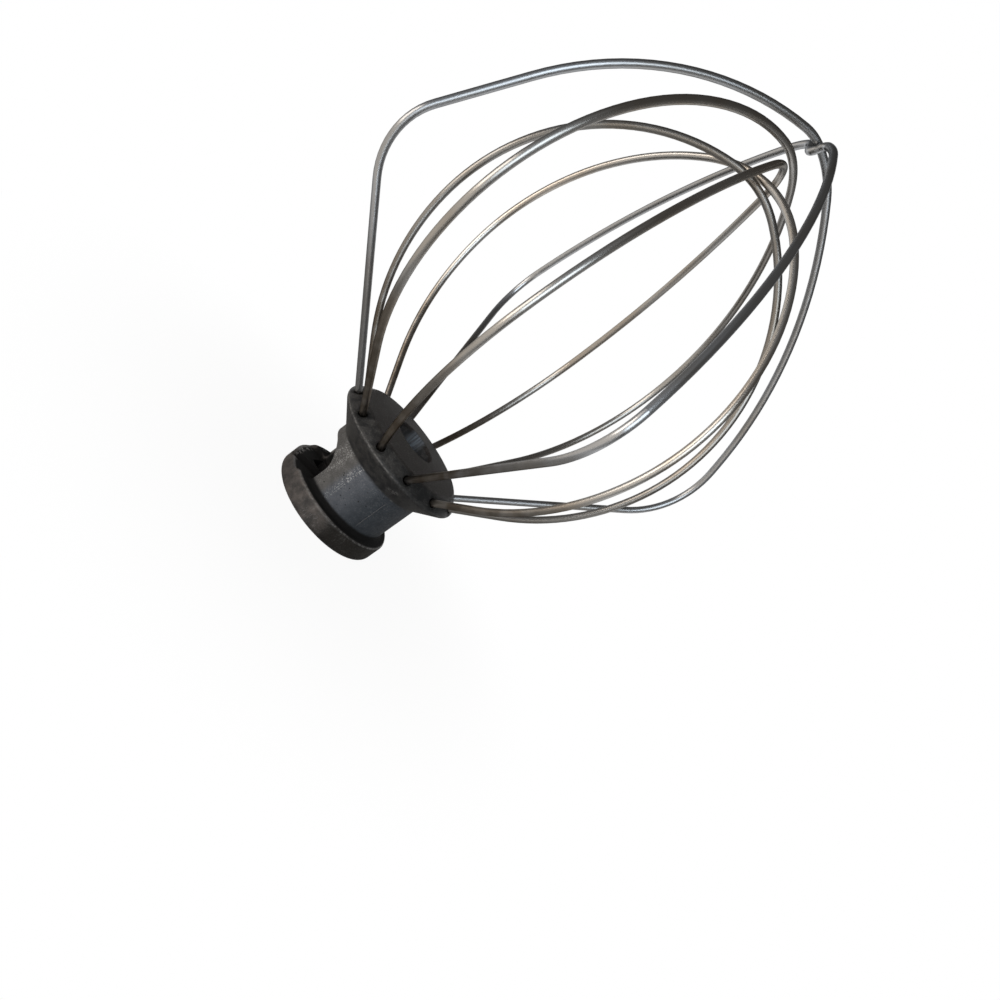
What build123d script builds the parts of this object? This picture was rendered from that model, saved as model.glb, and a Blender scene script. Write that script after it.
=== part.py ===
from build123d import *
from dataclasses import dataclass
import math
import os

# Stand mixer wire whisk: six bent wire loops held in a cast hub with a bayonet socket.
# Millimetres. +Z runs along the axis from the socket to the tip of the cage, and the origin is
# the centre of the hub's bottom face, on which the whisk stands.

# Hub, from the bottom up
BORE_D = 13.0          # socket for the drive shaft
BORE_EDGE_R = 0.4      # rounded lead-in at both ends of the socket
BASE_D = 35.0          # flange at the open end
BASE_H = 6.3
BASE_EDGE_R = 1.5      # around the bottom face
FLANGE_EDGE_R = 0.9    # around the top of the flange
FLANGE_W = 2.9         # how far the flange stands out from the neck
NECK_TOP_Z = 20.2      # where the neck starts to flare out
NECK_FILLET_R = 1.2
RIDGE_D = 43.2         # widest part of the head, before its edge is rounded
RIDGE_Z = 27.0
RIDGE_EDGE_R = 1.1
TOP_D = 35.0           # outer edge of the domed top
TOP_EDGE_Z = 30.5
TOP_EDGE_R = 1.6
HUB_H = 31.4           # dome at the bore

# Bayonet: a window in the neck, a keyway that lets the shaft's cross pin in, and the pin's seat
PIN_D = 5.0
PIN_CLEARANCE = 0.3
WINDOW_ANGLE = 172.0   # direction of the window, counterclockwise from +X
WINDOW_W = 21.2
WINDOW_BOTTOM_Z = 5.0
WINDOW_TOP_Z = 17.4
WINDOW_TOP_R = 6.0
WINDOW_BOTTOM_R = 2.4
KEYWAY_WALL = 2.2      # metal left between the keyway and the outside of the neck
KEYWAY_ANGLE = 143.0
SEAT_ANGLE = 178.0
SEAT_DEPTH = 1.2

# Wires and the holes that hold them
WIRE_D = 1.9
HOLE_CLEARANCE = 0.3
HOLE_DEPTH = 6.0
HOLE_Z = 28.75         # height of the hole mouths on the slope between the ridge and the top
FIRST_HOLE_ANGLE = 180.0
LOOPS = 6
EXIT_ANGLE = 44.0      # the holes lean outwards from the axis by this much
CAGE_H = 121.25        # from the hole mouths to the axis of the outermost wire at the tip

# Notch at the tip of the second outer wire, in which the outermost wire crosses it
NOTCH_GAP = 0.25
NOTCH_BUMP_R = 3.2
NOTCH_VALLEY_R = 2.4
NOTCH_TURN = 50.0
NOTCH_LEAD = 10.0      # the crown is still rising by this much where the notch starts

NECK_D = BASE_D - 2 * FLANGE_W
KEYWAY_REACH = NECK_D / 2 - KEYWAY_WALL
HOLE_STEP = 180.0 / LOOPS
HOLE_D = WIRE_D + 2 * HOLE_CLEARANCE


@dataclass
class Half:
    """How half a wire is bent, from its hole to the tip. The lengths are in % of CAGE_H."""
    run: float         # straight length from the hole's mouth to the shoulder bend
    bend_r: float      # radius of the shoulder bend
    bend: float        # turn of the shoulder bend
    side: float        # turn of the long arc between the shoulder and the crown
    flat: float = 0.0  # straight length between the shoulder and the long arc


@dataclass
class WireForm:
    """One wire: its place, and its two halves, of which the second sits half a turn round the axis."""
    name: str
    hole: int          # its first hole, counted from FIRST_HOLE_ANGLE
    gap: float         # free space below the wire that crosses the axis above it
    lean: float        # the halves are pushed round the axis by this many degrees
    halves: list
    notched: bool = False


# The outermost wire has been pressed flatter on one side in use
WIRES = [
    WireForm("outer_wire", 0, 0.0, 1.0, [Half(41.5, 14.8, 66.2, 45.5, 17.5), Half(40.8, 20.7, 64.0, 40.8, 2.0)]),
    WireForm("notched_wire", 3, NOTCH_GAP, 2.1, [Half(39.8, 17.2, 59.1, 42.8)] * 2, notched=True),
    WireForm("inner_wire_1", 1, 2.6, 5.0, [Half(18.25, 47.9, 88.0, 28.0)] * 2),
    WireForm("inner_wire_2", 2, 0.8, -2.5, [Half(2.6, 47.9, 47.5, 42.0)] * 2),
    WireForm("inner_wire_3", 4, 2.4, 3.0, [Half(10.5, 52.8, 37.5, 67.0)] * 2),
    WireForm("inner_wire_4", 5, 0.3, 8.5, [Half(10.9, 49.9, 38.0, 76.5)] * 2),
]


def heading(angle):
    """Unit vector in a wire's plane (x away from the axis, y up) that leans outwards by an angle."""
    return Vector(math.sin(math.radians(angle)), math.cos(math.radians(angle)))


def bend_span(angle, turn):
    """How far a bend of radius 1 carries a wire that has this heading; a negative turn bends outwards."""
    before = heading(angle)
    after = heading(angle - turn)
    side = math.copysign(1, turn)
    return Vector(after.Y - before.Y, before.X - after.X) * side


def hole_mouth():
    """Where the axis of a hole meets the slope of the hub's head, in a wire's plane."""
    share = (HOLE_Z - RIDGE_Z) / (TOP_EDGE_Z - RIDGE_Z)
    return Vector(RIDGE_D / 2 + share * (TOP_D - RIDGE_D) / 2, HOLE_Z)


def tip_heights():
    """Height of each wire's axis at the tip, from the outermost wire down."""
    heights = {}
    height = HOLE_Z + CAGE_H
    for form in WIRES:
        if heights:
            height -= WIRE_D + form.gap
        heights[form.name] = height
    return heights


def notch_bends(form):
    """Radius and turn of the bends from the crown to the tip, for half of a notched wire."""
    if not form.notched:
        return []
    return [(NOTCH_BUMP_R, NOTCH_LEAD + NOTCH_TURN), (NOTCH_VALLEY_R, -NOTCH_TURN)]


def half_path(half, notch, tip_z):
    """Axis of half a wire, from the bottom of its hole to the tip, in its plane."""
    mouth = hole_mouth()
    out = heading(EXIT_ANGLE)
    up = heading(EXIT_ANGLE - half.bend)
    run = half.run / 100 * CAGE_H
    bend_r = half.bend_r / 100 * CAGE_H
    flat = half.flat / 100 * CAGE_H
    crown_start = EXIT_ANGLE - half.bend - half.side
    crown_end = -90.0 + sum(turn for _, turn in notch)
    crown = crown_start - crown_end

    # The side and crown radii are those that bring the wire to its height on the axis
    left = Vector(0, tip_z) - mouth - out * run - bend_span(EXIT_ANGLE, half.bend) * bend_r - up * flat
    angle = crown_end
    for radius, turn in notch:
        left -= bend_span(angle, turn) * radius
        angle -= turn
    side_span = bend_span(EXIT_ANGLE - half.bend, half.side)
    crown_span = bend_span(crown_start, crown)
    scale = side_span.X * crown_span.Y - side_span.Y * crown_span.X
    side_r = (left.X * crown_span.Y - left.Y * crown_span.X) / scale
    crown_r = (side_span.X * left.Y - side_span.Y * left.X) / scale

    path = [Line(mouth - out * HOLE_DEPTH, mouth + out * run)]
    path.append(JernArc(path[-1] @ 1, path[-1] % 1, bend_r, half.bend))
    if flat:
        path.append(Line(path[-1] @ 1, path[-1] @ 1 + up * flat))
    for radius, turn in [(side_r, half.side), (crown_r, crown)] + notch:
        path.append(JernArc(path[-1] @ 1, path[-1] % 1, radius, turn))
    return path


def placed_halves(form, tip_z):
    """Edges of both halves of a wire in the whisk's frame, leaning round the axis as it does."""
    mouth = Plane.XZ.from_local_coords(hole_mouth())
    chord = Axis(mouth, Vector(0, 0, tip_z) - mouth)
    angle = FIRST_HOLE_ANGLE + form.hole * HOLE_STEP
    placed = []
    for half, turn in zip(form.halves, (angle, angle + 180)):
        edges = [Plane.XZ * edge for edge in half_path(half, notch_bends(form), tip_z)]
        placed.append([edge.rotate(chord, form.lean).rotate(Axis.Z, turn) for edge in edges])
    return placed


def make_wire(form, tip_z):
    """One wire: a loop whose two ends sit in opposite holes of the hub."""
    first, second = placed_halves(form, tip_z)
    section = Plane(origin=first[0] @ 0, z_dir=first[0] % 0) * Circle(WIRE_D / 2)
    return sweep(section, path=Wire(first + second))


def hub_body():
    """The cast hub before its cuts: flange, neck, flared head and domed top, turned round the axis."""
    corners = [
        ((BORE_D / 2, 0), BORE_EDGE_R),
        ((BASE_D / 2, 0), BASE_EDGE_R),
        ((BASE_D / 2, BASE_H), FLANGE_EDGE_R),
        ((NECK_D / 2, BASE_H), NECK_FILLET_R),
        ((NECK_D / 2, NECK_TOP_Z), NECK_FILLET_R),
        ((RIDGE_D / 2, RIDGE_Z), RIDGE_EDGE_R),
        ((TOP_D / 2, TOP_EDGE_Z), TOP_EDGE_R),
        ((BORE_D / 2, HUB_H), BORE_EDGE_R),
    ]
    outline = FilletPolyline([point for point, _ in corners], radius=[r for _, r in corners], close=True)
    return revolve(Plane.XZ * make_face(outline), Axis.Z)


def radial_plane(angle):
    """Plane through the axis that faces outwards: x runs round the hub, y up."""
    out = Vector(1, 0, 0).rotate(Axis.Z, angle)
    return Plane(origin=(0, 0, 0), x_dir=out.rotate(Axis.Z, 90), z_dir=out)


def window_cut():
    """The window in the neck: round-cornered outside, with sides that point at the axis."""
    outside = BASE_D / 2 + 1
    outline = FilletPolyline(
        [
            (-WINDOW_W / 2, WINDOW_BOTTOM_Z),
            (WINDOW_W / 2, WINDOW_BOTTOM_Z),
            (WINDOW_W / 2, WINDOW_TOP_Z),
            (-WINDOW_W / 2, WINDOW_TOP_Z),
        ],
        radius=[WINDOW_BOTTOM_R, WINDOW_BOTTOM_R, WINDOW_TOP_R, WINDOW_TOP_R],
        close=True,
    )
    block = extrude(radial_plane(WINDOW_ANGLE) * make_face(outline), amount=outside)
    spread = math.asin(WINDOW_W / NECK_D)
    half_width = outside * math.tan(spread)
    sector = make_face(Polyline((0, 0), (outside, -half_width), (outside, half_width), close=True))
    return block & extrude(Rot(0, 0, WINDOW_ANGLE) * sector, amount=HUB_H)


def bayonet_cut():
    """Window, keyway and pin seat, as one solid to cut from the hub."""
    pin_way = PIN_D + 2 * PIN_CLEARANCE
    keyway_top = WINDOW_BOTTOM_Z + pin_way
    keyway_face = Rectangle(pin_way, 2 * keyway_top)
    keyway = extrude(radial_plane(KEYWAY_ANGLE) * keyway_face, amount=KEYWAY_REACH)
    seat_face = Pos(0, WINDOW_BOTTOM_Z - SEAT_DEPTH + pin_way / 2) * Circle(pin_way / 2)
    seat = extrude(radial_plane(SEAT_ANGLE) * seat_face, amount=BASE_D / 2 + 1)
    return window_cut() + keyway + seat


def wire_holes(heights):
    """The twelve blind holes, each along the end of the wire that sits in it."""
    holes = []
    for form in WIRES:
        for half in placed_halves(form, heights[form.name]):
            drill = Plane(origin=half[0] @ 0, z_dir=half[0] % 0) * Circle(HOLE_D / 2)
            holes.append(extrude(drill, amount=2 * HOLE_DEPTH))
    return holes


def make_hub(heights):
    """The hub, one casting with its bayonet socket and wire holes."""
    return hub_body() - bayonet_cut() - wire_holes(heights)


os.makedirs("parts", exist_ok=True)
tips = tip_heights()
export_step(make_hub(tips), "parts/hub.step")
for wire_form in WIRES:
    export_step(make_wire(wire_form, tips[wire_form.name]), f"parts/{wire_form.name}.step")
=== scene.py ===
import math
import random

import bpy
from mathutils import Matrix, Vector


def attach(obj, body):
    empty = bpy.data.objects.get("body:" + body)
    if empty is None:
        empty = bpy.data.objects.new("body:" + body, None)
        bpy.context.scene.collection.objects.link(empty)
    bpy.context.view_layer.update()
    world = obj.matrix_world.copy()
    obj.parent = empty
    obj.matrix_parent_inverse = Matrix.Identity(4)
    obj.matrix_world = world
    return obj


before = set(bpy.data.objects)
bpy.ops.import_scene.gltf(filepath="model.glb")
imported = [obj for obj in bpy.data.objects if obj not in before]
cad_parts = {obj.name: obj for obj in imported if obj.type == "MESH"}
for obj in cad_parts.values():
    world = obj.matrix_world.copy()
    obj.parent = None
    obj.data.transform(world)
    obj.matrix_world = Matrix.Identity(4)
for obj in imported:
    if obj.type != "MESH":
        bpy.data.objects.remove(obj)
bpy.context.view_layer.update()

# Places on the whisk, in millimetres and degrees, as in the part's source. +Z runs from the hub to the tip.
BORE_R = 6.5
FLANGE_R, FLANGE_TOP_Z = 17.5, 6.3
NECK_R, NECK_TOP_Z = 14.6, 20.2
RIDGE_R, RIDGE_Z = 21.07, 26.95
TOP_EDGE_Z = 30.42
HOLE_R, HOLE_Z, HOLE_STEP = 19.55, 28.75, 30.0
FIRST_HOLE_ANGLE = 180.0
WINDOW_ANGLE, WINDOW_SPREAD = 172.0, 46.6
PARTING_ANGLES = (285.0, 105.0)
CAGE_H = 121.25

# Each wire's hole, in steps from the first one, how far its two halves lean round the axis, and its tone,
# which scales the whole wire's metal as painted light and shade
OUTER_WIRES = {"outer_wire": (0, 1.0, 0.82), "notched_wire": (3, 2.1, 1.0)}
INNER_WIRES = {
    "inner_wire_1": (1, 5.0, 0.90),
    "inner_wire_2": (2, -2.5, 1.0),
    "inner_wire_3": (4, 3.0, 1.12),
    "inner_wire_4": (5, 8.5, 0.66),
}

# Where the marks on the hub are, in degrees round the axis, among them painted shade, highlights, sheen and
# cool reflection
HEAD_SHADE_ANGLE = 288.0
FLANGE_SHADE_ANGLE = 306.0
FLANGE_LEFT_SHADE_ANGLE = 178.0
NECK_COOL_REFLECTION_ANGLE = 280.0
NECK_SHADE_ANGLE = 262.0
NECK_HIGHLIGHT_ANGLE = 241.0
NECK_SHEEN_ANGLE = 219.0
RIDGE_SHADE_ANGLE = 285.0
SCRATCHED_ANGLE, SCRATCHED_Z = 248.0, 2.4
NICK_ANGLE, NICK_Z, NICK_R = 272.0, 23.6, 18.2
CHIPS_ANGLE, CHIPS_Z, CHIPS_R = 164.0, 5.2, 16.4
BORE_HIGHLIGHT_ANGLE = 74.0

# Colours of the hub's skin, each in its darker and its lighter patches; the neck's cool skin is painted cool
# reflection, and its shaded skin painted shade
HEAD_SKIN = (0.019, 0.0187, 0.0188), (0.041, 0.039, 0.037)
TOP_SKIN = (0.0125, 0.0102, 0.0088), (0.022, 0.018, 0.0158)
FLANGE_SKIN = (0.052, 0.048, 0.046), (0.160, 0.138, 0.125)
NECK_WARM_SKIN = (0.057, 0.055, 0.054), (0.168, 0.161, 0.153)
NECK_COOL_REFLECTION_SKIN = (0.066, 0.070, 0.081), (0.148, 0.155, 0.171)
NECK_SHADED_SKIN = (0.028, 0.032, 0.038), (0.066, 0.075, 0.087)

# Colours of the marks on the hub, among them painted shade on the head and flange, a painted highlight in the
# grains and the bore, and grease with painted shade
HEAD_PAINTED_SHADE = (0.0090, 0.0098, 0.0106)
FLANGE_PAINTED_SHADE = (0.011, 0.0098, 0.0080)
FLANGE_LEFT_SHADE = (0.030, 0.027, 0.025)
GRAIN_AND_HIGHLIGHT = (0.50, 0.495, 0.49)
PIT_BLACK = (0.006, 0.006, 0.006)
BORE_METAL_AND_HIGHLIGHT = (0.145, 0.163, 0.188)
WORN_METAL = (0.22, 0.212, 0.205)
GREASE_AND_SHADE = (0.004, 0.0038, 0.0036)

# The wires' clean and tarnished colours, and the stretch of the noise in which the tarnish sets in
OUTER_STEEL = (0.475, 0.485, 0.50), (0.42, 0.41, 0.395), (0.42, 0.66)
INNER_STEEL = (0.475, 0.466, 0.451), (0.42, 0.38, 0.335), (0.38, 0.62)
LINE_DARK = (0.14, 0.132, 0.125)
SPECK_BROWN = (0.10, 0.085, 0.07)
ROOT_DIRT = (0.098, 0.076, 0.054)
STEEL_EDGE_TINT = (0.3, 0.3, 0.3)

# The bead on the parting lines, in millimetres: least and most height, half width and shift sideways
BEAD_LOW_Z, BEAD_HIGH_Z = FLANGE_TOP_Z + 1.3, NECK_TOP_Z - 0.5
BEAD_STEPS = 60
BEAD_SUNK = 0.12
BEAD_TALL = (0.08, 0.15)
BEAD_HALF = (0.10, 0.15)
BEAD_SHIFT = (-0.04, 0.04)

# The camera's place and axes, and its focal length in widths of the picture
CAMERA_AT = Vector((-0.05861, -0.17574, 0.08018))
CAMERA_RIGHT = Vector((0.58697, -0.09887, 0.80355))
CAMERA_UP = Vector((-0.68411, 0.47022, 0.55757))
CAMERA_BACK = CAMERA_RIGHT.cross(CAMERA_UP)
CAMERA_FOCAL = 0.7189
SENSOR_MM = 36.0
CLIP_START, CLIP_END = 0.01, 100.0

# The stage, in metres
WHITE = (1.0, 1.0, 1.0)
FLOOR_HALF, FLOOR_DROP = 8.0, 0.0003
FLOOR_PAINT = (0.62, 0.60, 0.575)
FLOOR_TINT = (0.90, 0.835, 0.755)
HORIZON, ZENITH, LEFT_GLOW = (0.25, 0.25, 0.25), (0.10, 0.097, 0.093), (0.31, 0.315, 0.325)
LAMP_AIM, LAMP_DISTANCE = Vector((0, 0, 0.07)), 0.60
COOL_LIGHT, WARM_LIGHT, PLAIN_LIGHT = (0.84, 0.93, 1.0), (1.0, 0.91, 0.81), (1.0, 0.985, 0.97)


class Nodes:
    """A node tree under construction. Sockets and plain values can be mixed in every call."""

    def __init__(self, tree):
        self.tree = tree
        tree.nodes.clear()

    def add(self, kind, inputs, **settings):
        node = self.tree.nodes.new(kind)
        for name, value in settings.items():
            setattr(node, name, value)
        for key, value in inputs.items():
            self.put(node.inputs[key], value)
        return node

    def put(self, socket, value):
        if isinstance(value, bpy.types.NodeSocket):
            self.tree.links.new(value, socket)
        elif socket.type == "RGBA" and len(value) == 3:
            socket.default_value = (*value, 1.0)
        else:
            socket.default_value = value

    def math(self, operation, a, b=0.0, c=0.0):
        return self.add("ShaderNodeMath", {0: a, 1: b, 2: c}, operation=operation).outputs[0]

    def times(self, first, *others):
        for other in others:
            first = self.math("MULTIPLY", first, other)
        return first

    def most(self, first, *others):
        for other in others:
            first = self.math("MAXIMUM", first, other)
        return first

    def rest(self, share):
        """What a share leaves of 1."""
        return self.math("SUBTRACT", 1.0, share)

    def distance(self, a, b):
        """How far away a point is, from its two offsets."""
        return self.math("SQRT", self.math("ADD", self.times(a, a), self.times(b, b)))

    def vector(self, operation, a, b=(0, 0, 0)):
        node = self.add("ShaderNodeVectorMath", {0: a, 1: b}, operation=operation)
        return node.outputs["Value" if operation in ("DOT_PRODUCT", "LENGTH") else "Vector"]

    def scaled(self, vector, factor):
        node = self.add("ShaderNodeVectorMath", {"Vector": vector, "Scale": factor}, operation="SCALE")
        return node.outputs["Vector"]

    def plane(self, x, y):
        return self.add("ShaderNodeCombineXYZ", {"X": x, "Y": y}).outputs[0]

    def spread(self, value, low, high, to_low=0.0, to_high=1.0):
        """Smooth step from one range to another, held at both ends."""
        node = self.add(
            "ShaderNodeMapRange",
            {"Value": value, "From Min": low, "From Max": high, "To Min": to_low, "To Max": to_high},
            interpolation_type="SMOOTHSTEP",
        )
        return node.outputs["Result"]

    def within(self, value, low, high, soft):
        """1 between two values, fading to 0 outside them."""
        above_low = self.spread(value, low - soft, low)
        below_high = self.spread(value, high, high + soft, 1.0, 0.0)
        return self.times(above_low, below_high)

    def mix(self, share, a, b):
        node = self.add("ShaderNodeMix", {0: share, 6: a, 7: b}, data_type="RGBA")
        return node.outputs[2]

    def blend(self, share, a, b):
        node = self.add("ShaderNodeMix", {0: share, 2: a, 3: b}, data_type="FLOAT")
        return node.outputs[0]

    def noise(self, vector, scale, detail, roughness):
        node = self.add(
            "ShaderNodeTexNoise",
            {"Vector": vector, "Scale": scale, "Detail": detail, "Roughness": roughness},
        )
        return node.outputs["Fac"]

    def cells(self, vector, scale):
        """Distance to the nearest cell centre, and a random number for each cell."""
        node = self.add("ShaderNodeTexVoronoi", {"Vector": vector, "Scale": scale})
        split = self.add("ShaderNodeSeparateColor", {"Color": node.outputs["Color"]})
        return node.outputs["Distance"], split.outputs[0]

    def bump(self, height, strength, distance_mm):
        inputs = {"Height": height, "Strength": strength, "Distance": distance_mm / 1000}
        return self.add("ShaderNodeBump", inputs).outputs["Normal"]


class Spot:
    """The shaded point in millimetres, with its radius, height and angle round the axis."""

    def __init__(self, nodes):
        self.nodes = nodes
        self.at = nodes.scaled(nodes.add("ShaderNodeTexCoord", {}).outputs["Object"], 1000.0)
        x, y, self.z = nodes.add("ShaderNodeSeparateXYZ", {"Vector": self.at}).outputs
        self.radius = nodes.vector("LENGTH", nodes.plane(x, y))
        self.angle = nodes.math("DEGREES", nodes.math("ARCTAN2", y, x))

    def turn_from(self, angle, period=360.0):
        """Degrees round the axis from an angle, or from the nearest of those that repeat after a period."""
        turn = self.nodes.math("SUBTRACT", self.angle, angle)
        return self.nodes.math("WRAP", turn, period / 2, -period / 2)

    def beside(self, angle, period=360.0):
        """Degrees round the axis from an angle, counted both ways."""
        return self.nodes.math("ABSOLUTE", self.turn_from(angle, period))

    def ring(self, at_r, at_z, inner, outer):
        """1 near a circle round the axis, 0 further away."""
        off_r = self.nodes.math("SUBTRACT", self.radius, at_r)
        off_z = self.nodes.math("SUBTRACT", self.z, at_z)
        return self.nodes.spread(self.nodes.distance(off_r, off_z), inner, outer, 1.0, 0.0)

    def patch(self, angle, at_z, at_r, wide, tall, period=360.0):
        """1 in the middle of an oval mark on the hub, 0 outside it."""
        nodes = self.nodes
        across = nodes.math("RADIANS", self.turn_from(angle, period))
        across = nodes.math("DIVIDE", nodes.times(across, at_r), wide)
        up = nodes.math("DIVIDE", nodes.math("SUBTRACT", self.z, at_z), tall)
        return nodes.spread(nodes.distance(across, up), 0.5, 1.0, 1.0, 0.0)


def material(name):
    """A new material, and its empty node tree."""
    made = bpy.data.materials.new(name)
    made.use_nodes = True
    return made, Nodes(made.node_tree)


def finish_material(nodes, inputs):
    shader = nodes.add("ShaderNodeBsdfPrincipled", inputs)
    nodes.add("ShaderNodeOutputMaterial", {"Surface": shader.outputs[0]})


def skin_colour(nodes, spot, neck, clouds, patches):
    """The hub's skin before wear: brown flange, grey cast neck, dark turned head and brown top, with painted
    shade on one side of the head and flange and on the flange's left edge, and painted cool reflection and
    shade on the neck.
    """
    head = nodes.mix(nodes.spread(patches, 0.38, 0.62), *HEAD_SKIN)
    # Painted shade darkens one side of the head
    dark = nodes.within(spot.turn_from(HEAD_SHADE_ANGLE), -16.0, 30.0, 24.0)
    dark = nodes.times(dark, nodes.spread(spot.z, 24.5, 26.5))
    head = nodes.mix(nodes.times(dark, 0.55), head, HEAD_PAINTED_SHADE)
    top = nodes.mix(clouds, *TOP_SKIN)

    flange = nodes.mix(nodes.spread(clouds, 0.35, 0.65), *FLANGE_SKIN)
    # Painted shade darkens one side of the flange
    dark = nodes.within(spot.turn_from(FLANGE_SHADE_ANGLE), -34.0, 28.0, 26.0)
    flange = nodes.mix(nodes.times(dark, 0.93), flange, FLANGE_PAINTED_SHADE)
    # Painted shade darkens the flange's left edge
    left_shade = nodes.within(spot.turn_from(FLANGE_LEFT_SHADE_ANGLE), -20.0, 10.0, 14.0)
    flange = nodes.mix(nodes.times(left_shade, 0.6), flange, FLANGE_LEFT_SHADE)

    # Painted cool reflection makes the cast skin bluish over a quarter of the neck, and painted shade makes
    # it deeper over the second half of that
    warm = nodes.mix(patches, *NECK_WARM_SKIN)
    near_cool_reflection = nodes.mix(patches, *NECK_COOL_REFLECTION_SKIN)
    far_shaded = nodes.mix(patches, *NECK_SHADED_SKIN)
    cool = nodes.mix(nodes.spread(spot.turn_from(NECK_SHADE_ANGLE), -16.0, 20.0), near_cool_reflection, far_shaded)
    cast = nodes.mix(nodes.within(spot.turn_from(NECK_COOL_REFLECTION_ANGLE), -40.0, 50.0, 8.0), warm, cool)

    colour = nodes.mix(nodes.spread(spot.z, TOP_EDGE_Z - 0.5, TOP_EDGE_Z + 0.2), head, top)
    colour = nodes.mix(nodes.spread(spot.z, FLANGE_TOP_Z - 0.4, FLANGE_TOP_Z + 0.4), flange, colour)
    return nodes.mix(neck, colour, cast)


def grains_and_highlight(nodes, spot, neck, patches):
    """Grains of uncoated metal in the cast skin, crowded into a painted highlight down the neck and a painted
    sheen beside it.
    """
    # Painted highlight: the grains crowd into a band down the neck, with a painted sheen beside it
    worn_and_highlight = nodes.rest(nodes.spread(spot.beside(NECK_HIGHLIGHT_ANGLE), 1.0, 6.0))
    sheen = nodes.within(spot.turn_from(NECK_SHEEN_ANGLE), -9.0, 3.0, 9.0)
    worn_and_highlight = nodes.most(worn_and_highlight, nodes.times(sheen, 0.6), 0.10)
    worn_and_highlight = nodes.times(worn_and_highlight, nodes.spread(spot.z, 7.0, 17.0, 0.4, 1.0))
    grains = nodes.spread(nodes.noise(spot.at, 2.8, 2.0, 0.7), 0.51, 0.62)
    return nodes.times(grains, nodes.spread(patches, 0.35, 0.62, 0.35, 1.0), nodes.blend(neck, 0.05, worn_and_highlight))


def dark_pits(nodes, spot, neck):
    """Small pits in the casting, fewer on the turned faces."""
    far, pick = nodes.cells(spot.at, 0.85)
    pits = nodes.times(nodes.spread(far, 0.08, 0.22, 1.0, 0.0), nodes.spread(pick, 0.60, 0.66))
    return nodes.times(pits, nodes.blend(neck, 0.4, 1.0))


def bore_bare_and_highlight(nodes, spot):
    """A painted highlight over streaks of uncoated metal on one side of the socket, near its upper end."""
    bore = nodes.spread(spot.radius, BORE_R + 0.1, BORE_R + 0.5, 1.0, 0.0)
    side = nodes.spread(spot.beside(BORE_HIGHLIGHT_ANGLE), 6.0, 28.0, 1.0, 0.05)
    bare_and_highlight = nodes.times(bore, nodes.spread(spot.z, NECK_TOP_Z - 3.0, NECK_TOP_Z + 4.0), side)
    streaks = nodes.noise(nodes.plane(spot.angle, spot.z), 0.16, 3.0, 0.6)
    return nodes.times(bare_and_highlight, nodes.spread(streaks, 0.38, 0.62, 0.25, 1.0))


def hub_wear(nodes, spot, neck, clouds):
    """How far each point is worn down to bright metal: edges, scratches, a nick and the parting line; painted
    shade dims the ridge's wear on one side.
    """
    ragged = nodes.noise(spot.at, 1.3, 3.0, 0.6)
    ridge = spot.ring(RIDGE_R, RIDGE_Z, 0.05, 0.36)
    ridge = nodes.times(ridge, nodes.spread(ragged, 0.35, 0.65, 0.12, 0.66))
    # Painted shade dims the worn ridge on one side
    ridge = nodes.times(ridge, nodes.spread(spot.beside(RIDGE_SHADE_ANGLE), 14.0, 34.0, 0.12, 1.0))
    rim = spot.ring(FLANGE_R - 0.26, FLANGE_TOP_Z - 0.26, 0.10, 0.42)
    rim = nodes.times(rim, nodes.spread(ragged, 0.40, 0.62, 0.15, 0.75))
    foot = spot.ring(FLANGE_R - 0.44, 0.44, 0.2, 0.8)
    foot = nodes.times(foot, nodes.spread(ragged, 0.44, 0.66, 0.0, 0.55))

    # Scratches along the flange's rim, most of them in one place
    arc = nodes.times(nodes.math("RADIANS", spot.angle), FLANGE_R)
    unrolled = nodes.plane(arc, nodes.times(spot.z, 0.20))
    scratch = nodes.spread(nodes.noise(unrolled, 3.4, 2.0, 0.7), 0.54, 0.70)
    scratch = nodes.times(scratch, nodes.spread(spot.z, FLANGE_TOP_Z - 0.5, FLANGE_TOP_Z, 1.0, 0.0))
    worn_and_highlight = spot.patch(SCRATCHED_ANGLE, SCRATCHED_Z, FLANGE_R, 3.6, 3.4)
    worn_and_highlight = nodes.most(worn_and_highlight, nodes.spread(clouds, 0.60, 0.75, 0.0, 0.35))
    scratch = nodes.times(scratch, worn_and_highlight)

    # A nick on the flare, and the parting line, which stands proud of the neck
    nick = nodes.times(spot.patch(NICK_ANGLE, NICK_Z, NICK_R, 1.9, 1.5), nodes.spread(ragged, 0.48, 0.60))
    proud = nodes.spread(spot.radius, NECK_R + 0.03, NECK_R + 0.10)
    along = nodes.spread(spot.beside(PARTING_ANGLES[0], 180.0), 1.0, 2.0, 0.6, 0.0)
    parting = nodes.times(proud, neck, along)
    chips = nodes.times(sill_chips(nodes, spot), 0.5)
    return nodes.most(ridge, rim, foot, scratch, nick, parting, chips)


def sill_chips(nodes, spot):
    """Ragged bright chips on the outer edge of the window's sill."""
    ragged = nodes.noise(spot.at, 1.1, 3.0, 0.6)
    chips = nodes.times(spot.patch(CHIPS_ANGLE, CHIPS_Z, CHIPS_R, 9.0, 1.6), nodes.spread(ragged, 0.51, 0.59))
    return nodes.times(chips, nodes.spread(spot.radius, 15.2, 16.2))


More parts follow.
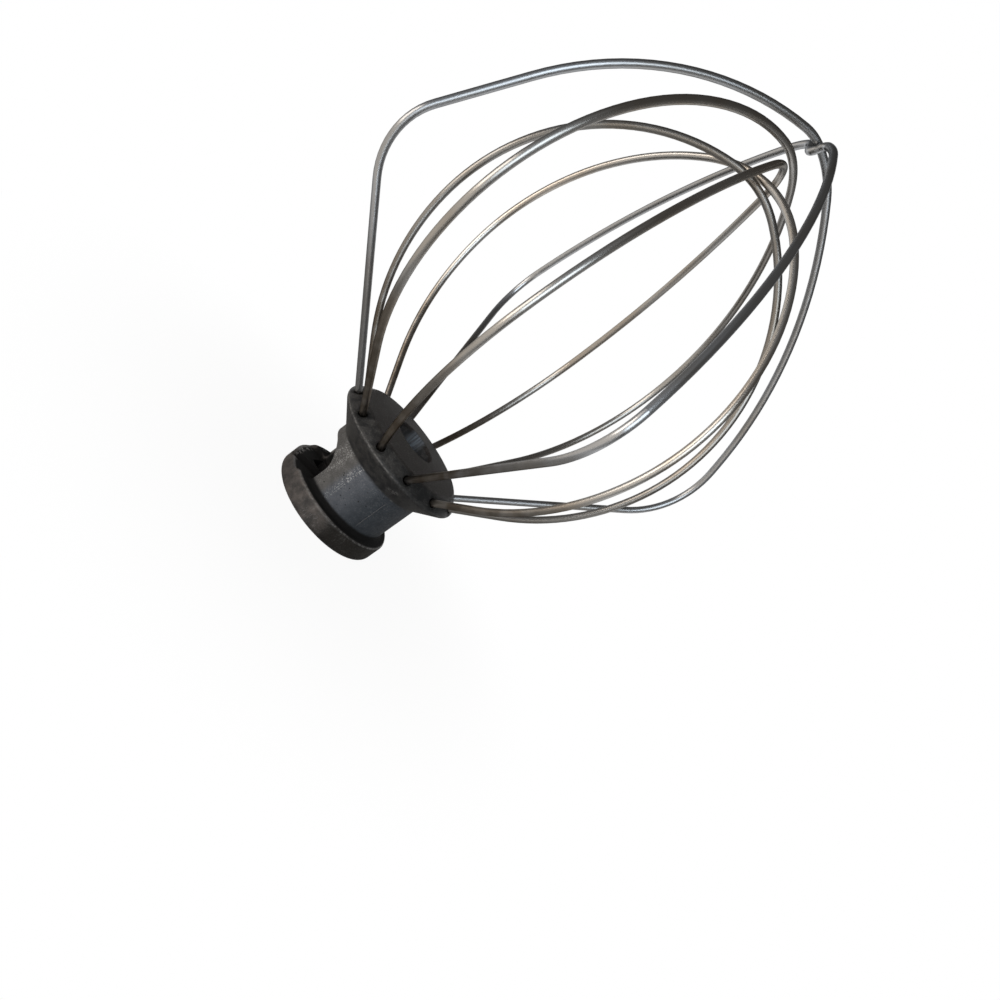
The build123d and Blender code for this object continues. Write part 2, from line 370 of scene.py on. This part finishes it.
def hub_dirt_and_shade(nodes, spot):
    """Black grease round the wires, grease and painted shade in the corner above the flange, and painted
    shade in the window and down the bore.
    """
    blotch = nodes.noise(spot.at, 0.7, 3.0, 0.6)
    # Grease and painted shade in the corner above the flange
    corner = nodes.within(spot.radius, NECK_R - 0.3, FLANGE_R - 0.8, 0.5)
    corner = nodes.times(corner, nodes.within(spot.z, FLANGE_TOP_Z - 0.3, FLANGE_TOP_Z + 0.9, 1.1), 0.97)

    holes = spot.patch(0.0, HOLE_Z, HOLE_R, 2.1, 1.8, HOLE_STEP)
    holes = nodes.times(holes, nodes.spread(blotch, 0.30, 0.60, 0.20, 0.75))
    holes = nodes.times(holes, nodes.spread(spot.radius, 14.0, 16.0))

    # Painted shade down the bore and on the inner faces of the window
    inside = nodes.spread(spot.radius, NECK_R - 1.4, NECK_R - 0.3, 0.95, 0.0)
    inside = nodes.times(inside, nodes.spread(spot.z, NECK_TOP_Z - 3.0, NECK_TOP_Z + 3.0, 1.0, 0.0))
    inside = nodes.times(inside, nodes.spread(spot.z, 0.15, 0.35))

    # Painted shade on the window's sill
    sill = nodes.spread(spot.beside(WINDOW_ANGLE), WINDOW_SPREAD - 6.0, WINDOW_SPREAD, 1.0, 0.0)
    sill = nodes.times(sill, nodes.spread(spot.z, 3.2, 3.9))
    sill = nodes.times(sill, nodes.spread(spot.radius, FLANGE_R - 1.2, FLANGE_R - 0.4, 0.95, 0.0))
    sill = nodes.times(sill, nodes.spread(spot.z, 9.0, 11.0, 1.0, 0.0))
    return nodes.times(nodes.most(corner, holes, inside, sill), nodes.rest(sill_chips(nodes, spot)))


def cast_hub():
    """Dark oxidised casting: grainy and greyer on the neck, browner on the turned faces, worn on edges, with
    painted shade, highlights and cool reflection in places.
    """
    made, nodes = material("cast_hub_looks")
    spot = Spot(nodes)
    clouds = nodes.noise(spot.at, 0.16, 4.0, 0.6)
    patches = nodes.noise(spot.at, 0.50, 4.0, 0.6)
    grain = nodes.noise(spot.at, 2.2, 3.0, 0.65)

    # The neck keeps its cast skin, and the flange and the head are turned
    outside = nodes.spread(spot.radius, NECK_R - 0.9, NECK_R - 0.3)
    neck = nodes.times(nodes.within(spot.z, FLANGE_TOP_Z + 1.6, NECK_TOP_Z - 0.2, 0.9), outside)
    glint = grains_and_highlight(nodes, spot, neck, patches)
    pit = dark_pits(nodes, spot, neck)
    bare_and_highlight = bore_bare_and_highlight(nodes, spot)
    wear = hub_wear(nodes, spot, neck, clouds)
    dirt_and_shade = hub_dirt_and_shade(nodes, spot)

    colour = skin_colour(nodes, spot, neck, clouds, patches)
    # Over the skin: grains with a painted highlight, pits, the bore's painted highlight, wear, and grease
    # with painted shade
    colour = nodes.mix(glint, colour, GRAIN_AND_HIGHLIGHT)
    colour = nodes.mix(nodes.times(pit, 0.8), colour, PIT_BLACK)
    colour = nodes.mix(bare_and_highlight, colour, BORE_METAL_AND_HIGHLIGHT)
    colour = nodes.mix(nodes.times(wear, 0.8), colour, WORN_METAL)
    colour = nodes.mix(dirt_and_shade, colour, GREASE_AND_SHADE)

    flange = nodes.spread(spot.z, FLANGE_TOP_Z - 0.2, FLANGE_TOP_Z + 0.4, 0.35, 0.0)
    metal = nodes.most(nodes.times(glint, 0.4), nodes.times(wear, 0.6), nodes.times(bare_and_highlight, 0.5))
    metal = nodes.most(metal, nodes.times(neck, 0.4), flange)
    metal = nodes.times(metal, nodes.rest(dirt_and_shade))

    turned = nodes.spread(patches, 0.3, 0.7, 0.46, 0.60)
    cast = nodes.spread(grain, 0.3, 0.7, 0.40, 0.62)
    roughness = nodes.blend(neck, turned, cast)
    roughness = nodes.blend(nodes.most(glint, wear), roughness, 0.40)
    roughness = nodes.blend(dirt_and_shade, roughness, 0.95)
    roughness = nodes.most(roughness, nodes.spread(spot.z, TOP_EDGE_Z - 0.4, TOP_EDGE_Z + 0.2, 0.0, 0.72))

    height = nodes.math("SUBTRACT", grain, pit)
    finish_material(
        nodes,
        {
            "Base Color": colour,
            "Metallic": metal,
            "Roughness": roughness,
            "Normal": nodes.bump(height, nodes.blend(neck, 0.10, 0.50), 0.14),
            "Specular IOR Level": 0.22,
        },
    )
    return made


def across_wire(nodes, spot, hole, lean):
    """Direction square to the plane in which each half of a wire is bent: round the wire, never along it."""
    turn = Matrix.Rotation(math.radians(FIRST_HOLE_ANGLE + hole * HOLE_STEP), 3, "Z")
    chord = Vector((-HOLE_R, 0, CAGE_H)).normalized()
    square = Matrix.Rotation(math.radians(lean), 3, chord) @ Vector((0, 1, 0))
    out = turn @ Vector((1, 0, 0))
    level = turn @ Vector((square.x, square.y, 0))
    half = nodes.math("SIGN", nodes.vector("DOT_PRODUCT", spot.at, out))
    rise = nodes.scaled((0, 0, square.z), half)
    return nodes.vector("ADD", rise, level)


def root_grime(nodes, spot):
    """Dirt on the wires where they enter the hub, fading up the cage."""
    root = nodes.spread(spot.z, HOLE_Z + 10.0, HOLE_Z + 44.0, 1.0, 0.0)

    # The dirt is thin at both ends of the outermost wire and beside one of them
    thin = nodes.within(spot.turn_from(FIRST_HOLE_ANGLE - 180.0), -34.0, 34.0, 10.0)
    thin = nodes.most(thin, nodes.within(spot.turn_from(FIRST_HOLE_ANGLE), -8.0, 8.0, 10.0))
    root = nodes.times(root, nodes.spread(thin, 0.0, 1.0, 1.0, 0.25))
    return nodes.times(root, nodes.spread(nodes.noise(spot.at, 0.22, 2.0, 0.5), 0.25, 0.70, 0.55, 1.0))


def drawn_wire(name, place, clean, tarnished, tarnish):
    """Drawn stainless wire: faint lines along its length, tarnish in long patches, grime at the hub."""
    hole, lean, tone = place
    made, nodes = material(name)
    spot = Spot(nodes)
    around = nodes.add("ShaderNodeTexCoord", {}).outputs["Normal"]

    # The wire's normal hardly changes along it, so noise in the normal draws lines along the wire
    lines_at = nodes.vector("ADD", nodes.scaled(around, 5.0), nodes.scaled(spot.at, 0.03))
    lines = nodes.noise(lines_at, 1.3, 2.0, 0.55)
    patches = nodes.noise(spot.at, 0.050, 3.0, 0.55)
    specks = nodes.noise(spot.at, 0.9, 3.0, 0.6)
    spots = nodes.spread(specks, 0.66, 0.84, 0.0, 0.16)
    grime = root_grime(nodes, spot)

    # The tone scales the whole wire's metal as painted light and shade
    clean = tuple(tone * part for part in clean)
    tarnished = tuple(tone * part for part in tarnished)
    colour = nodes.mix(nodes.spread(patches, *tarnish), clean, tarnished)
    colour = nodes.mix(nodes.spread(lines, 0.35, 0.70, 0.0, 0.14), colour, LINE_DARK)
    colour = nodes.mix(spots, colour, SPECK_BROWN)
    colour = nodes.mix(nodes.times(grime, 0.90), colour, ROOT_DIRT)

    roughness = nodes.spread(lines, 0.25, 0.75, 0.24, 0.29)
    roughness = nodes.math("ADD", roughness, nodes.times(nodes.most(spots, grime), 0.14))
    finish_material(
        nodes,
        {
            "Base Color": colour,
            "Metallic": 1.0,
            "Roughness": roughness,
            "Normal": nodes.bump(lines, 0.02, 0.05),
            "Anisotropic": nodes.spread(grime, 0.0, 1.0, 0.80, 0.35),
            "Tangent": across_wire(nodes, spot, hole, lean),
            "Specular Tint": STEEL_EDGE_TINT,
        },
    )
    return made


def dress(name, look):
    """Give a piece of the whisk its finish."""
    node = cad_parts[name]
    node.data.materials.clear()
    node.data.materials.append(look)


def parting_bead(name, angle, look, seed):
    """The thin line that the two halves of the mould left up the neck: a low, uneven bead."""
    dice = random.Random(seed)
    turn = Matrix.Rotation(math.radians(angle), 4, "Z")
    steps = BEAD_STEPS
    rows = []
    for step in range(steps + 1):
        z = BEAD_LOW_Z + (BEAD_HIGH_Z - BEAD_LOW_Z) * step / steps
        ends = min(1.0, 6.0 * step / steps, 6.0 * (steps - step) / steps)
        tall = ends * dice.uniform(*BEAD_TALL)
        half = dice.uniform(*BEAD_HALF)
        shift = dice.uniform(*BEAD_SHIFT)
        left = [(-half, -BEAD_SUNK), (-0.6 * half, 0.7 * tall)]
        right = [(0.6 * half, 0.7 * tall), (half, -BEAD_SUNK)]
        section = [*left, (0.0, tall), *right]
        rows.append([turn @ (Vector((NECK_R + r, y + shift, z)) / 1000) for y, r in section])
    count = len(rows[0])
    faces = [tuple(range(count)), tuple(reversed(range(steps * count, (steps + 1) * count)))]
    for step in range(steps):
        for k in range(count):
            a, b = step * count + k, step * count + (k + 1) % count
            faces.append((a, a + count, b + count, b))
    mesh = bpy.data.meshes.new(name)
    mesh.from_pydata([point for row in rows for point in row], [], faces)
    mesh.materials.append(look)
    bead = bpy.data.objects.new(name, mesh)
    bpy.context.scene.collection.objects.link(bead)
    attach(bead, "root")


def toward(azimuth, elevation):
    """Unit vector in a direction given in degrees: round from +X, and above the floor."""
    flat = math.cos(math.radians(elevation))
    turn = math.radians(azimuth)
    return Vector((flat * math.cos(turn), flat * math.sin(turn), math.sin(math.radians(elevation))))


def seen_rays(nodes):
    """Two switches: 1 for rays from the camera, and 1 for rays from metal or through glass."""
    path = nodes.add("ShaderNodeLightPath", {}).outputs
    return path["Is Camera Ray"], nodes.most(path["Is Glossy Ray"], path["Is Transmission Ray"])


def backdrop_share(nodes, direction):
    """1 where the white backdrop is, in the directions that the picture takes in, 0 beside and behind it."""
    ahead = nodes.vector("DOT_PRODUCT", nodes.vector("NORMALIZE", direction), -CAMERA_BACK)
    return nodes.spread(ahead, 0.50, 0.68)


def floor_looks():
    """White to the camera, with a little of the pale paint and its shadow near the whisk's foot.

    The metal mirrors the white part behind the whisk and a warm part on the left, and elsewhere the paint.
    """
    made, nodes = material("floor_looks")
    point = nodes.add("ShaderNodeTexCoord", {}).outputs["Object"]
    far = nodes.vector("LENGTH", point)
    behind = backdrop_share(nodes, nodes.vector("SUBTRACT", point, CAMERA_AT))
    behind = nodes.times(behind, nodes.spread(far, 0.08, 0.25))
    left = nodes.spread(nodes.vector("DOT_PRODUCT", point, toward(-160, 0)), 0.07, 0.125)
    camera, mirrored = seen_rays(nodes)
    camera = nodes.times(camera, nodes.spread(far, 0.02, 0.10, 0.94, 1.0))
    mirrored = nodes.times(mirrored, nodes.most(left, behind))
    tint = nodes.mix(nodes.times(mirrored, left), WHITE, FLOOR_TINT)
    paint = nodes.add("ShaderNodeBsdfDiffuse", {"Color": FLOOR_PAINT})
    glow = nodes.add("ShaderNodeEmission", {"Color": tint, "Strength": 1.0})
    share = nodes.most(camera, mirrored)
    both = nodes.add("ShaderNodeMixShader", {0: share, 1: paint.outputs[0], 2: glow.outputs[0]})
    nodes.add("ShaderNodeOutputMaterial", {"Surface": both.outputs[0]})
    return made


def make_floor():
    """Pale floor, just under the flange."""
    mesh = bpy.data.meshes.new("floor")
    signs = [(-1, -1), (1, -1), (1, 1), (-1, 1)]
    mesh.from_pydata([(FLOOR_HALF * x, FLOOR_HALF * y, 0) for x, y in signs], [], [(0, 1, 2, 3)])
    mesh.materials.append(floor_looks())
    floor = bpy.data.objects.new("floor", mesh)
    floor.location.z = -FLOOR_DROP
    bpy.context.scene.collection.objects.link(floor)


def make_world():
    """Dim surroundings, brighter on the left of the picture, and a white backdrop behind the whisk."""
    world = bpy.data.worlds.new("studio")
    world.use_nodes = True
    bpy.context.scene.world = world
    nodes = Nodes(world.node_tree)
    direction = nodes.add("ShaderNodeTexCoord", {}).outputs["Generated"]
    height = nodes.vector("DOT_PRODUCT", direction, (0, 0, 1))
    left = nodes.spread(nodes.vector("DOT_PRODUCT", direction, toward(-135, 0)), 0.45, 1.0)
    tone = nodes.mix(nodes.spread(height, 0.0, 0.75), HORIZON, ZENITH)
    tone = nodes.mix(left, tone, LEFT_GLOW)
    camera, mirrored = seen_rays(nodes)
    white = nodes.most(camera, nodes.times(mirrored, backdrop_share(nodes, direction)))
    tone = nodes.mix(white, tone, WHITE)
    sky = nodes.add("ShaderNodeBackground", {"Color": tone, "Strength": 1.0})
    nodes.add("ShaderNodeOutputWorld", {"Surface": sky.outputs[0]})


def softbox(name, direction, width, height, level, colour, mirrored=True):
    """Area light that faces the whisk; level is its brightness where white is 1."""
    light = bpy.data.lights.new(name, "AREA")
    light.shape = "RECTANGLE"
    light.size = width
    light.size_y = height
    light.color = colour
    light.energy = level * math.pi * width * height
    lamp = bpy.data.objects.new(name, light)
    lamp.location = LAMP_AIM + direction * LAMP_DISTANCE
    lamp.rotation_mode = "QUATERNION"
    lamp.rotation_quaternion = direction.to_track_quat("Z", "Y")
    lamp.visible_camera = False
    lamp.visible_glossy = mirrored
    bpy.context.scene.collection.objects.link(lamp)


def make_camera():
    """Camera at the picture's viewing angle."""
    data = bpy.data.cameras.new("camera")
    data.sensor_fit = "HORIZONTAL"
    data.sensor_width = SENSOR_MM
    data.lens = CAMERA_FOCAL * SENSOR_MM
    data.clip_start = CLIP_START
    data.clip_end = CLIP_END
    camera = bpy.data.objects.new("camera", data)
    axes = Matrix((CAMERA_RIGHT, CAMERA_UP, CAMERA_BACK)).transposed().to_4x4()
    camera.matrix_world = Matrix.Translation(CAMERA_AT) @ axes
    bpy.context.scene.collection.objects.link(camera)
    bpy.context.scene.camera = camera


hub_look = cast_hub()
dress("hub", hub_look)
for wires, steel in ((OUTER_WIRES, OUTER_STEEL), (INNER_WIRES, INNER_STEEL)):
    for wire, place in wires.items():
        dress(wire, drawn_wire(f"{wire}_looks", place, *steel))
for number, angle in enumerate(PARTING_ANGLES, 1):
    parting_bead(f"parting_line_{number}", angle, hub_look, number)

make_floor()
make_world()
softbox("key_light", toward(-95, 15), 0.44, 0.28, 3.0, COOL_LIGHT)
softbox("warm_light", toward(-162, 4), 0.46, 0.18, 3.1, WARM_LIGHT)
softbox("fill_light", toward(-130, 22), 0.60, 0.30, 3.0, PLAIN_LIGHT, mirrored=False)
softbox("back_light", toward(72, 6), 0.60, 0.30, 3.0, PLAIN_LIGHT, mirrored=False)
make_camera()
bpy.context.scene.view_settings.view_transform = "Standard"
